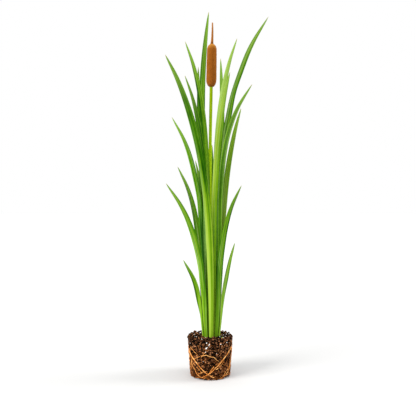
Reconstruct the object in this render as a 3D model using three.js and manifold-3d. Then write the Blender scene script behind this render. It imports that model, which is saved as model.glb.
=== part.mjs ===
// A young cattail plant lifted from its growing pot, standing on its own root ball.
// Millimetres, +Z up. The origin is the centre of the flat underside of the root ball, and the plant's
// best side faces -Y. Every leaf, the flower stalk and each main root is a piece of its own.

import * as THREE from "three";
import { mergeVertices } from "three/addons/utils/BufferGeometryUtils.js";
import Module from "manifold-3d";

const wasm = await Module();
wasm.setup();

// Driving dimensions
const ball = { height: 78, bottomRadius: 39.5, topRadius: 45, edgeRadius: 3, segments: 48 };
const crown = { x: 2, y: 0, depth: 14 }; // where leaves and stalk are planted, and how deep
const splay = { by: 0.56, over: 60 }; // how far the rings of leaves open, and over what height
const gap = 0.35; // between pieces that touch
const socketGap = 0.5; // round a leaf, whose faces slope towards thin edges
const stalk = { bottomRadius: 3.6, topRadius: 3.2, top: 585, bow: 3, sides: 12, steps: 14 };
const head = {
  length: 86.5, radius: 10, topRadius: 9.6, bottomDome: 18, topDome: 13, bottomNeck: 4.1, topNeck: 3.2,
  domeSteps: 6, segments: 24,
};
const spike = { length: 42, bottomRadius: 2.6, tipRadius: 1.2, plug: 3 };
const rootPath = { points: 9, steps: 20, wave: 3, climbOver: 0.12 };
const blade = {
  sides: 6, stepLength: 42, // the section's corners, and how often it is repeated
  baseWidth: 8, baseThick: 2.4, tipThick: 0.7, cup: 0.6,
  fullWidthAt: 0.4, taperFrom: 0.7, turnFrom: 0.15, turnTo: 0.65, // as parts of the length
};

const leafGreen = new THREE.MeshStandardMaterial({ color: 0x5f9a2c, roughness: 0.5, metalness: 0 });
const youngGreen = new THREE.MeshStandardMaterial({ color: 0x9bbf2c, roughness: 0.5, metalness: 0 });
const velvetBrown = new THREE.MeshStandardMaterial({ color: 0x8f531f, roughness: 0.95, metalness: 0 });
const spikeBrown = new THREE.MeshStandardMaterial({ color: 0xa5622d, roughness: 0.85, metalness: 0 });
const soilBrown = new THREE.MeshStandardMaterial({ color: 0x49301f, roughness: 1, metalness: 0 });
const rootTan = new THREE.MeshStandardMaterial({ color: 0xc2823f, roughness: 0.8, metalness: 0 });

// The leaves stand in three rings round the stalk, each ring spread evenly from its first angle, and
// clockwise as seen from above. A leaf has its tip, how late it arches (1 is straight), how far its
// middle swings aside in X and Y, its widest width, and the angle its face has turned by at the tip.
const leafRings = {
  outer: { radius: 15.4, firstAngle: -90, leaves: [
    { tip: [-87, -42, 638], bow: 3.9, swing: [-4, -6], width: 12, turn: 10 },
    { tip: [-86, -45, 390], bow: 3.4, swing: [0, 0], width: 11, turn: 30 },
    { tip: [-54, -10, 236], bow: 3.5, swing: [0, 0], width: 10, turn: 60 },
    { tip: [-68, 45, 425], bow: 4.2, swing: [0, 0], width: 11, turn: -40 },
    { tip: [-32, 92, 440], bow: 3.4, swing: [0, 0], width: 10, turn: 0 },
    { tip: [22, 72, 655], bow: 2.4, swing: [9, 4], width: 10, turn: 0 },
    { tip: [64, 38, 545], bow: 3.6, swing: [0, 0], width: 10, turn: 50 },
    { tip: [50, -6, 270], bow: 2.7, swing: [0, 0], width: 10, turn: -50 },
    { tip: [60, -50, 386], bow: 3.9, swing: [0, 0], width: 11, turn: -25 },
  ] },
  middle: { radius: 11, firstAngle: -75, leaves: [
    { tip: [38, -34, 606], bow: 4.3, swing: [0, -4], width: 11, turn: 0 },
    { tip: [-50, -20, 602], bow: 5.2, swing: [0, -4], width: 9, turn: 30 },
    { tip: [-77, 0, 523], bow: 4.6, swing: [0, 0], width: 10, turn: 60 },
    { tip: [-25, 56, 634], bow: 2.2, swing: [-4, 4], width: 9, turn: -30 },
    { tip: [4, 40, 470], bow: 3, swing: [0, 0], width: 9, turn: 0 },
    { tip: [118, 22, 728], bow: 4.4, swing: [0, 0], width: 13, turn: -75 },
    { tip: [82, -24, 584], bow: 6.2, swing: [0, 0], width: 10, turn: -55 },
  ] },
  inner: { radius: 6.5, firstAngle: -45, leaves: [
    { tip: [53, -12, 676], bow: 5.4, swing: [0, 0], width: 10, turn: -40 },
    { tip: [-50, -4, 672], bow: 5.6, swing: [0, 0], width: 10, turn: 40 },
    { tip: [-3, 16, 736], bow: 1.5, swing: [-13, 2], width: 11, turn: -45 },
    { tip: [36, 30, 620], bow: 4, swing: [0, 0], width: 8.5, turn: 30 },
  ] },
};

// One row per main root: the compass angles and heights where it starts and ends, its thickness,
// and where along it (0 to 1) it climbs over another root.
const roots = [
  { name: "main_root_1", from: { angle: -8, z: 64 }, to: { angle: -118, z: 4 }, thick: 2.2, over: 0.82 },
  { name: "main_root_2", from: { angle: -176, z: 56 }, to: { angle: -72, z: 3 }, thick: 2.0 },
  { name: "main_root_3", from: { angle: 160, z: 60 }, to: { angle: 60, z: 4 }, thick: 2.0 },
  { name: "main_root_4", from: { angle: 20, z: 62 }, to: { angle: 112, z: 5 }, thick: 2.0, over: 0.73 },
];

const { degToRad: radians, lerp, clamp, smoothstep } = THREE.MathUtils;
const plantedZ = ball.height - crown.depth;

const leaves = Object.entries(leafRings).flatMap(([ring, { radius, firstAngle, leaves: row }]) =>
  row.map((leaf, i) => (
    { ...leaf, name: `${ring}_leaf_${i + 1}`, ring, radius, angle: firstAngle - (i * 360) / row.length }
  )));

// A closed mesh as a manifold-3d solid, and back.
function toSolid(geometry) {
  const plain = geometry.clone();
  plain.deleteAttribute("normal");
  plain.deleteAttribute("uv");
  const merged = mergeVertices(plain, 1e-4);
  return new wasm.Manifold(new wasm.Mesh({
    numProp: 3,
    vertProperties: new Float32Array(merged.attributes.position.array),
    triVerts: new Uint32Array(merged.index.array),
  }));
}

function toGeometry(solid) {
  const mesh = solid.getMesh();
  const geometry = new THREE.BufferGeometry();
  geometry.setAttribute("position", new THREE.BufferAttribute(mesh.vertProperties, 3));
  geometry.setIndex(new THREE.BufferAttribute(mesh.triVerts, 1));
  geometry.computeVertexNormals();
  return geometry;
}

const leafSteps = (leaf) => Math.round((leaf.tip[2] - plantedZ) / blade.stepLength);

// The centre line of a leaf: t is 0 at the foot of its socket and 1 at its tip.
function leafPoint(leaf, t) {
  const a = radians(leaf.angle);
  const rise = (leaf.tip[2] - plantedZ) * t;
  const radius = leaf.radius * (1 + splay.by * (1 - Math.exp(-rise / splay.over)));
  const along = Math.max(t, 0) ** leaf.bow;
  const aside = Math.sin(Math.PI * t * t);
  return new THREE.Vector3(
    lerp(crown.x + radius * Math.cos(a), leaf.tip[0], along) + leaf.swing[0] * aside,
    lerp(crown.y + radius * Math.sin(a), leaf.tip[1], along) + leaf.swing[1] * aside,
    plantedZ + rise,
  );
}

// A leaf is a cylinder bent onto its centre line: its round section becomes a thin, slightly cupped
// lens that swells from its base, keeps its width, and narrows to a point.
function leafGeometry(leaf, to, steps, grow) {
  const geometry = new THREE.CylinderGeometry(1, 1, 1, blade.sides, steps);
  const position = geometry.attributes.position;
  const nearTip = 0.995; // the tip keeps a little width, so that it stays closed
  for (let i = 0; i < position.count; i++) {
    const t = to * (position.getY(i) + 0.5);
    const centre = leafPoint(leaf, t);
    const tangent = leafPoint(leaf, t + 1e-3).sub(leafPoint(leaf, t - 1e-3)).normalize();
    const facing = radians(leaf.angle + leaf.turn * smoothstep(t, blade.turnFrom, blade.turnTo));
    const out = new THREE.Vector3(Math.cos(facing), Math.sin(facing), 0);
    const side = new THREE.Vector3().crossVectors(tangent, out).normalize();
    out.crossVectors(side, tangent);
    const swell = lerp(blade.baseWidth, leaf.width, smoothstep(t, 0, blade.fullWidthAt));
    const narrowing = clamp((t - blade.taperFrom) / (1 - blade.taperFrom), 0, nearTip);
    const halfWidth = (swell / 2) * (1 - narrowing ** 2) ** 0.6 + grow;
    const halfThick = lerp(blade.baseThick, blade.tipThick, t) / 2 + grow;
    const across = position.getX(i);
    centre.addScaledVector(side, across * halfWidth);
    centre.addScaledVector(out, position.getZ(i) * halfThick - blade.cup * across * across * (1 - t));
    if (t === 0) centre.z -= grow;
    position.setXYZ(i, centre.x, centre.y, centre.z);
  }
  return geometry;
}

// The flower stalk's centre line, which the seed head and its spike carry on in a straight line.
function stalkPoint(z) {
  const t = (z - plantedZ) / (stalk.top - plantedZ);
  return new THREE.Vector3(crown.x - stalk.bow * Math.sin(Math.PI * t), crown.y, z);
}

function stalkGeometry(grow) {
  const geometry = new THREE.CylinderGeometry(1, 1, 1, stalk.sides, stalk.steps);
  const position = geometry.attributes.position;
  for (let i = 0; i < position.count; i++) {
    const t = position.getY(i) + 0.5;
    const radius = lerp(stalk.bottomRadius, stalk.topRadius, t) + grow;
    const centre = stalkPoint(lerp(plantedZ - grow, stalk.top + grow, t));
    centre.add(new THREE.Vector3(radius * position.getX(i), -radius * position.getZ(i), 0));
    position.setXYZ(i, centre.x, centre.y, centre.z);
  }
  return geometry;
}

// A quarter of an ellipse between two (radius, height) points, as a dome's outline.
function domeOutline(fromRadius, fromZ, toRadius, toZ, narrowFirst) {
  return Array.from({ length: head.domeSteps + 1 }, (_, i) => {
    const a = (i / head.domeSteps) * Math.PI / 2;
    const across = narrowFirst ? Math.sin(a) : 1 - Math.cos(a);
    const up = narrowFirst ? 1 - Math.cos(a) : Math.sin(a);
    return new THREE.Vector2(lerp(fromRadius, toRadius, across), lerp(fromZ, toZ, up));
  });
}

// A lathed piece turned from its own Y axis to stand along Z.
function lathe(outline, segments) {
  return new THREE.LatheGeometry(outline, segments).rotateX(Math.PI / 2);
}

// The seed head: a blunt velvet sausage, socketed at both ends for the stalk and the spike.
function headSolid() {
  const { length, radius, topRadius, bottomDome, topDome, bottomNeck, topNeck } = head;
  const outline = [
    new THREE.Vector2(0, 0),
    ...domeOutline(bottomNeck, 0, radius, bottomDome, true),
    ...domeOutline(topRadius, length - topDome, topNeck, length, false),
    new THREE.Vector2(0, length),
  ];
  return toSolid(lathe(outline, head.segments));
}

function spikeGeometry(grow) {
  const { length, bottomRadius, tipRadius, plug } = spike;
  return lathe([
    new THREE.Vector2(0, -plug - grow),
    new THREE.Vector2(bottomRadius + grow, -plug - grow),
    new THREE.Vector2(bottomRadius + grow, 0),
    new THREE.Vector2(lerp(bottomRadius, tipRadius, 0.5) + grow, length * 0.5),
    new THREE.Vector2(tipRadius + grow, length - tipRadius),
    new THREE.Vector2(tipRadius * 0.6 + grow, length - tipRadius * 0.2),
    new THREE.Vector2(0, length),
  ], stalk.sides);
}

const ballRadius = (z) => lerp(ball.bottomRadius, ball.topRadius, z / ball.height);

// The root ball keeps the pot's tapered shape, with its edges rounded off.
function ballSolid() {
  const { height, edgeRadius: e } = ball;
  return toSolid(lathe([
    new THREE.Vector2(0, 0),
    new THREE.Vector2(ballRadius(0) - e, 0),
    new THREE.Vector2(ballRadius(e) - e * 0.3, e * 0.3),
    new THREE.Vector2(ballRadius(e), e),
    new THREE.Vector2(ballRadius(height - e), height - e),
    new THREE.Vector2(ballRadius(height - e) - e * 0.3, height - e * 0.3),
    new THREE.Vector2(ballRadius(height - e) - e, height),
    new THREE.Vector2(0, height),
  ], ball.segments));
}

// A main root runs down and round the side of the ball, half sunk in it.
function rootGeometry(root, grow) {
  const { from, to, thick, over } = root;
  const beyond = grow * 0.02; // a groove runs on past both ends of its root
  const points = Array.from({ length: rootPath.points }, (_, i) => {
    const t = lerp(-beyond, 1 + beyond, i / (rootPath.points - 1));
    const a = radians(lerp(from.angle, to.angle, t));
    const z = lerp(from.z, to.z, t) + rootPath.wave * Math.sin(2 * Math.PI * t);
    const climb = over === undefined ? 0 : (thick + 1) * Math.exp(-(((t - over) / rootPath.climbOver) ** 2));
    const r = ballRadius(z) + climb;
    return new THREE.Vector3(r * Math.cos(a), r * Math.sin(a), z);
  });
  const section = new THREE.Shape();
  section.absarc(0, 0, thick / 2 + grow, 0, 2 * Math.PI);
  return new THREE.ExtrudeGeometry(section, {
    steps: rootPath.steps,
    curveSegments: 3,
    bevelEnabled: false,
    extrudePath: new THREE.CatmullRomCurve3(points),
  });
}

const plant = new THREE.Group();

function addPiece(name, geometry, material) {
  const mesh = new THREE.Mesh(geometry, material);
  mesh.name = name;
  plant.add(mesh);
  return mesh;
}

// Each planted piece gets a socket in the soil, and each main root a groove.
const cutters = [
  stalkGeometry(gap),
  ...leaves.map((leaf) => leafGeometry(leaf, 1 / leafSteps(leaf), 1, socketGap)),
  ...roots.map((root) => rootGeometry(root, gap)),
];
const soil = cutters.reduce((solid, cutter) => solid.subtract(toSolid(cutter)), ballSolid());

addPiece("root_ball", toGeometry(soil), soilBrown);
for (const root of roots) addPiece(root.name, rootGeometry(root, 0), rootTan);
for (const leaf of leaves) {
  const material = leaf.ring === "inner" ? youngGreen : leafGreen;
  addPiece(leaf.name, leafGeometry(leaf, 1, leafSteps(leaf), 0), material);
}

// The head stands along the stalk's last stretch, threaded onto its end, and the spike is plugged into
// the head.
addPiece("stalk", stalkGeometry(0), youngGreen);
const lean = Math.atan(stalkPoint(stalk.top).x - stalkPoint(stalk.top - 1).x);
const upright = new THREE.Matrix4().makeRotationY(lean).setPosition(stalkPoint(stalk.top - spike.plug));
const spikeCutter = toSolid(spikeGeometry(gap).translate(0, 0, head.length));
const stalkCutter = toSolid(stalkGeometry(gap).applyMatrix4(upright.clone().invert()));
const socketedHead = headSolid().subtract(spikeCutter).subtract(stalkCutter);
const seedHead = addPiece("seed_head", toGeometry(socketedHead), velvetBrown);
const flowerSpike = addPiece("flower_spike", spikeGeometry(0).translate(0, 0, head.length), spikeBrown);
for (const piece of [seedHead, flowerSpike]) piece.applyMatrix4(upright);

export default plant;
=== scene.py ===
import itertools
import math

import bmesh
import bpy
import numpy as np
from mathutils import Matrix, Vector


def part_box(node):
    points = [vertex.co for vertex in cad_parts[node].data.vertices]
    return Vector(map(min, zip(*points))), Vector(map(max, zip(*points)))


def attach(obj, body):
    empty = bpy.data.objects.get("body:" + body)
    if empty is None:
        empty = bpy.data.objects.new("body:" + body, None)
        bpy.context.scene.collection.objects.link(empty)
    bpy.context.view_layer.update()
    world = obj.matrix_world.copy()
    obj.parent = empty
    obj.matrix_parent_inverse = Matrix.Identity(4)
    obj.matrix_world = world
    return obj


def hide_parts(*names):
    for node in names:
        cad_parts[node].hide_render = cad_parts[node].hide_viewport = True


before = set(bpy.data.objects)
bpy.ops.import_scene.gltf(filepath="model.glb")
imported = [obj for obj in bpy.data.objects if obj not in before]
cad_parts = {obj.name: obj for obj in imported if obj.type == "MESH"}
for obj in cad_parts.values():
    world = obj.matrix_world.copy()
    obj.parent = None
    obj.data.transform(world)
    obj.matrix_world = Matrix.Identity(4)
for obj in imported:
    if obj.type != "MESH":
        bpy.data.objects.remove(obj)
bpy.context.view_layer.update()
mm = 0.001


studio = {
    "lens": 50, "cameraAt": (-0.0045, -1.167, 0.390), "tiltDown": 2.45,
    "floorSize": 12.0, "floorColour": (208, 208, 208),
    "skyStrength": 1.0,
    # where each lamp shines from, its strength, the angle that it spreads over in degrees and its colour
    "lamps": {
        "key_lamp": ((-0.88, -0.50, 0.46), 3.4, 34, (1.0, 0.985, 0.96)),
        "rim_lamp": ((0.95, 0.12, 0.40), 2.2, 26, (1.0, 1.0, 1.0)),
    },
}


def setUpStudio(look):
    lens = bpy.data.cameras.new("camera")
    lens.lens = look["lens"]
    camera = bpy.data.objects.new("camera", lens)
    camera.location = look["cameraAt"]
    camera.rotation_euler = (math.radians(90 - look["tiltDown"]), 0, 0)
    bpy.context.collection.objects.link(camera)
    bpy.context.scene.camera = camera

    for name, (direction, strength, spread, tint) in look["lamps"].items():
        lamp = bpy.data.lights.new(name, "SUN")
        lamp.energy, lamp.angle, lamp.color = strength, math.radians(spread), tint
        holder = bpy.data.objects.new(name, lamp)
        holder.rotation_euler = Vector(direction).to_track_quat("Z", "Y").to_euler()
        bpy.context.collection.objects.link(holder)

    sky = bpy.data.worlds.new("studio_sky")
    sky.use_nodes = True
    background = sky.node_tree.nodes["Background"].inputs
    background["Color"].default_value = (1, 1, 1, 1)
    background["Strength"].default_value = look["skyStrength"]
    bpy.context.scene.world = sky
    bpy.context.scene.view_settings.view_transform = "Standard"
    print("studio ready")


def makeFloor(look):
    white = Recipe("floor_white")
    half = look["floorSize"] / 2
    mesh = bpy.data.meshes.new("floor")
    corners = [(-half, -half, 0), (half, -half, 0), (half, half, 0), (-half, half, 0)]
    mesh.from_pydata(corners, [], [(0, 1, 2, 3)])
    mesh.materials.append(white.finish(baseColor=colour(*look["floorColour"]), roughness=0.9, specular=0.1))
    floor = bpy.data.objects.new("floor", mesh)
    bpy.context.collection.objects.link(floor)


def makePiece(name, points, faces, material, attributes=None, replaces=()):
    # points (n, 3) in metres, faces a list of index arrays, each (count, corners); faces are turned outwards
    points = np.asarray(points, float).reshape(-1, 3)
    volume = 0.0
    for block in faces:
        a = points[block[:, 0]]
        for k in range(1, block.shape[1] - 1):
            volume += np.einsum("ij,ij->", a, np.cross(points[block[:, k]], points[block[:, k + 1]]))
    if volume < 0:
        faces = [block[:, ::-1] for block in faces]
    mesh = bpy.data.meshes.new(name)
    mesh.from_pydata(points.tolist(), [], [face for block in faces for face in block.tolist()])
    mesh.validate()
    mesh.shade_smooth()
    for key, values in (attributes or {}).items():
        layer = mesh.attributes.new(key, "FLOAT", "POINT")
        layer.data.foreach_set("value", np.asarray(values, np.float32).ravel())
    mesh.materials.append(material)
    piece = bpy.data.objects.new(name, mesh)
    bpy.context.collection.objects.link(piece)
    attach(piece, "root")
    if replaces:
        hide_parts(*replaces)


def tubeFaces(count, rows, columns):
    # quads of count tubes, each of rows rings of columns points, with a fan of triangles over each end
    row, column = np.meshgrid(np.arange(rows - 1), np.arange(columns), indexing="ij")
    here, after = row * columns + column, row * columns + (column + 1) % columns
    quads = np.stack([here, after, after + columns, here + columns], -1).reshape(-1, 4)
    fan = np.arange(1, columns - 1)
    start = np.stack([np.zeros_like(fan), fan + 1, fan], -1)
    end = np.stack([np.zeros_like(fan), fan, fan + 1], -1) + (rows - 1) * columns
    each = (np.arange(count) * rows * columns)[:, None, None]
    return [(quads[None] + each).reshape(-1, 4), (np.concatenate([start, end])[None] + each).reshape(-1, 3)]


def unit(vectors):
    return vectors / np.maximum(np.linalg.norm(vectors, axis=-1, keepdims=True), 1e-12)


def anglesRound(columns):
    return np.arange(columns) * 2 * math.pi / columns


def fromFront(radius, angle, z):
    # a point at that distance from the z axis; its angle in radians is 0 in front and grows to the right
    return np.stack([radius * np.sin(angle), -radius * np.cos(angle), z], -1)


def spokesRound(axis, angle):
    # unit vectors square to a nearly upright axis
    east = unit(np.cross((0, 1, 0), axis))
    north = np.cross(axis, east)
    return np.cos(angle)[..., None] * east + np.sin(angle)[..., None] * north


def tubes(paths, radii, columns, away):
    # paths (count, rows, 3), radii (count, rows): circles square to each path, started from its away vector
    tangent = unit(np.gradient(paths, axis=1))
    side = unit(np.cross(tangent, away))
    up = np.cross(side, tangent)
    a = anglesRound(columns)
    ring = side[..., None, :] * np.cos(a)[:, None] + up[..., None, :] * np.sin(a)[:, None]
    return (paths[..., None, :] + ring * radii[..., None, None]).reshape(-1, 3)


def makeSkin(name, points, material, node, attributes=None):
    # one closed tube through points (rows, columns, 3), in the place of a CAD node
    shape = points.shape[:2]
    spread = {key: np.broadcast_to(value, shape) for key, value in (attributes or {}).items()}
    makePiece(name, points, tubeFaces(1, *shape), material, spread, [node])


def makeFibres(name, paths, radii, columns, away, tones, material, replaces=()):
    # a tube along each path; tones has one value for each tube or, where there is one tube, for each ring
    count, rows = radii.shape
    proud = np.repeat(tones, count * rows * columns // len(tones))
    makePiece(name, tubes(paths, radii, columns, away), tubeFaces(count, rows, columns), material,
              {"proud": proud}, replaces)


def smoothThrough(values, at):
    # a Catmull-Rom curve through values, which stand at equal steps from 0 to 1
    last = len(values) - 1
    padded = np.concatenate([2 * values[:1] - values[1:2], values, 2 * values[-1:] - values[-2:-1]])
    x = np.clip(at, 0, 1) * last
    i = np.minimum(x.astype(int), last - 1)
    f = (x - i).reshape(-1, *[1] * (values.ndim - 1))
    a, b, c, d = padded[i], padded[i + 1], padded[i + 2], padded[i + 3]
    return 0.5 * (2 * b + (c - a) * f + (2 * a - 5 * b + 4 * c - d) * f**2 + (3 * b - a - 3 * c + d) * f**3)


def smoothStep(low, high, x):
    f = np.clip((x - low) / (high - low), 0, 1)
    return f * f * (3 - 2 * f)


def lattice(ix, iy, iz, seed):
    # one repeatable random number from 0 to 1 for each whole-numbered point
    h = ix * 73856093 ^ iy * 19349663 ^ iz * 83492791 ^ (seed * 668265263)
    h = (h ^ (h >> 13)) * 1274126177
    h = (h ^ (h >> 16)) * 374761393
    return ((h ^ (h >> 15)) & 0xFFFFFF) / 0xFFFFFF


def cloud(points, cell, seed):
    # smooth noise from -1 to 1: random values on a lattice of that cell size, eased between its corners
    q = points / cell
    i = np.floor(q).astype(np.int64)
    f = q - i
    f = f * f * (3 - 2 * f)
    total = 0
    for dx, dy, dz in itertools.product((0, 1), repeat=3):
        share = np.prod(np.where([dx, dy, dz], f, 1 - f), axis=-1)
        total = total + share * lattice(i[..., 0] + dx, i[..., 1] + dy, i[..., 2] + dz, seed)
    return 2 * total - 1


def lumps(points, cell, seed):
    # distance to the nearest of many scattered middles, one to a cell: 0 on a lump, about 1 between lumps
    q = points / cell
    i = np.floor(q).astype(np.int64)
    nearest = np.full(q.shape[:-1], 9.0)
    for step in itertools.product((-1, 0, 1), repeat=3):
        c = i + np.array(step)
        middle = np.stack([lattice(c[..., 0], c[..., 1], c[..., 2], seed + k) for k in range(3)], -1)
        nearest = np.minimum(nearest, np.linalg.norm(c + middle - q, axis=-1))
    return nearest


def nodesWith(part):
    return [node for node in sorted(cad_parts) if part in node]


def cornersOf(node):
    # the separate corner points of a CAD solid
    merged = bmesh.new()
    merged.from_mesh(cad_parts[node].data)
    bmesh.ops.remove_doubles(merged, verts=merged.verts, dist=0.02 * mm)
    found = np.array([v.co for v in merged.verts])
    merged.free()
    return found


def ringsOf(node, sides):
    # the rings of corners of an upright CAD solid, from its foot up, less the point in the middle of each end
    corners = cornersOf(node)
    corners = corners[np.argsort(corners[:, 2])]
    for end in (slice(0, sides + 1), slice(-sides - 1, None)):
        group = corners[end]
        extra = np.argmin(np.linalg.norm(group - group.mean(0), axis=1))
        corners = np.delete(corners, np.arange(len(corners))[end][extra], axis=0)
    return corners.reshape(-1, sides, 3)


def colour(red, green, blue):
    # screen colours from 0 to 255 as the linear values that shaders take
    c = np.array([red, green, blue]) / 255
    return (*np.where(c < 0.04045, c / 12.92, ((c + 0.055) / 1.055) ** 2.4), 1.0)


class Wire:
    # a socket that takes part in sums: each operator adds a Math node
    def __init__(self, recipe, socket):
        self.recipe, self.socket = recipe, socket

    def maths(self, operation, first, second):
        return self.recipe.node("Math", {"operation": operation}, {0: first, 1: second})

    def __add__(self, other):
        return self.maths("ADD", self, other)

    def __sub__(self, other):
        return self.maths("SUBTRACT", self, other)

    def __rsub__(self, other):
        return self.maths("SUBTRACT", other, self)

    def __mul__(self, other):
        return self.maths("MULTIPLY", self, other)

    __radd__ = __add__


class Recipe:
    # a material being put together
    def __init__(self, name):
        self.material = bpy.data.materials.new(name)
        self.material.use_nodes = True
        self.tree = self.material.node_tree
        self.tree.nodes.clear()

    def node(self, kind, settings=None, inputs=None, output=0):
        made = self.tree.nodes.new("ShaderNode" + kind)
        for key, value in (settings or {}).items():
            if key == "stops":
                self.setStops(made.color_ramp, value)
            else:
                setattr(made, key, value)
        for key, value in (inputs or {}).items():
            if isinstance(value, Wire):
                self.tree.links.new(value.socket, made.inputs[key])
            else:
                made.inputs[key].default_value = value
        return Wire(self, made.outputs[output]) if made.outputs else None

    def setStops(self, ramp, stops):
        while len(ramp.elements) < len(stops):
            ramp.elements.new(1.0)
        for element, (place, shade) in zip(ramp.elements, stops):
            element.position, element.color = place, shade

    def attribute(self, name):
        return self.node("Attribute", {"attribute_name": name}, output="Fac")

    def place(self):
        return self.node("TexCoord", output="Object")

    def height(self):
        return self.node("SeparateXYZ", inputs={0: self.place()}, output="Z")

    def noise(self, size, detail=3, roughness=0.6, at=None):
        # noise with spots of that size, in metres or in the units of at
        return self.node("TexNoise", inputs={"Vector": at or self.place(), "Scale": 1 / size,
                                             "Detail": detail, "Roughness": roughness})

    def stretched(self, place, scale):
        # noise at this place runs long in the directions that have a small scale
        return self.node("VectorMath", {"operation": "MULTIPLY"}, {0: place, 1: scale})

    def absolute(self, value):
        return self.node("Math", {"operation": "ABSOLUTE"}, {0: value})

    def ramp(self, factor, stops):
        return self.node("ValToRGB", {"stops": stops}, {"Fac": factor})

    def between(self, value, low, high):
        # 0 up to low, 1 from high, eased
        return self.node("MapRange", {"interpolation_type": "SMOOTHSTEP"},
                         {"Value": value, "From Min": low, "From Max": high})

    def mix(self, factor, first, second):
        return self.node("Mix", {"data_type": "RGBA", "clamp_factor": True},
                         {0: factor, 6: first, 7: second}, output=2)

    def bump(self, height, depth, strength):
        return self.node("Bump", inputs={"Height": height, "Distance": depth, "Strength": strength})

    def finish(self, **sockets):
        # sockets are the Principled shader's, with their names run together
        names = {"baseColor": "Base Color", "roughness": "Roughness", "normal": "Normal",
                 "specular": "Specular IOR Level", "sheen": "Sheen Weight",
                 "sheenRoughness": "Sheen Roughness", "sheenTint": "Sheen Tint"}
        shader = self.node("BsdfPrincipled", inputs={names[key]: value for key, value in sockets.items()})
        self.node("OutputMaterial", inputs={"Surface": shader})
        return self.material


leafLook = {
    "rows": 150, "columns": 80, "sides": 6,  # sides is how many corners a ring of the CAD leaf has
    "cupFoot": 0.30, "cupTip": 0.12,  # how deep the channel is, as a share of the half width
    "keel": 0.25 * mm, "ribs": 4, "ribDepth": 0.05 * mm,
    "taperFrom": (0.45, 0.70), "taperPower": 0.62,  # a short leaf narrows from lower down than a tall one
    "sway": 0.9 * mm, "swayLength": 0.11, "twist": 7,  # degrees
    "widen": (1.04, 1.13),  # at the foot and higher up
    # how bright a leaf is low down and high up, where most lie from 0 to 1, and how yellow; the brightness is
    # partly each leaf's own green and partly painted light and shade, set leaf by leaf
    "usual": (0.36, 0.42, 0.3),
    "tones": {
        "outer_leaf_1": (0.86, 0.38, 0.7), "outer_leaf_2": (0.42, 0.46, 0.4),
        "outer_leaf_3": (0.42, 0.28, 0.5), "outer_leaf_4": (0.20, 0.34, 0.1),
        "outer_leaf_7": (1.15, 0.92, 0.5), "outer_leaf_8": (0.60, 0.54, 0.3),
        "outer_leaf_9": (0.26, 0.36, 0.3), "middle_leaf_1": (0.36, 0.68, 0.8),
        "middle_leaf_2": (0.30, 0.32, 0.1), "middle_leaf_3": (-0.12, 0.48, 0.1),
        "middle_leaf_5": (0.10, 0.14, 0.1), "middle_leaf_6": (0.60, 0.48, 0.4),
        "middle_leaf_7": (0.52, 0.42, 0.2), "inner_leaf_1": (0.96, 1.05, 0.2),
        "inner_leaf_2": (0.74, 0.36, 0.2), "inner_leaf_3": (-0.05, 0.54, 0.2),
    },
}


def leafRings(node):
    # the middle, side, half width and half thickness of each six-cornered ring of a CAD leaf, foot to tip
    rings = ringsOf(node, leafLook["sides"])
    middle = rings.mean(1)
    loose = rings - middle[:, None]
    side = np.linalg.svd(loose)[2][:, 0]
    side[-1] = side[-2]  # the tip is too small to show which way it faces
    for k in range(1, len(side)):
        side[k] *= np.sign(side[k] @ side[k - 1])
    tangent = unit(np.gradient(middle, axis=0))
    out = np.cross(side, tangent)
    axis = cornersOf("stalk")
    axis = axis[axis[:, 2] < axis[:, 2].min() + 5 * mm].mean(0)
    if out[0] @ (middle[0] - axis) < 0:
        side, out = -side, -out
    across = np.abs(np.einsum("rcj,rj->rc", loose, side)).max(1) / math.cos(math.radians(30))
    through = np.abs(np.einsum("rcj,rj->rc", loose, out)).max(1)
    return middle, side, across, through


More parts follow.
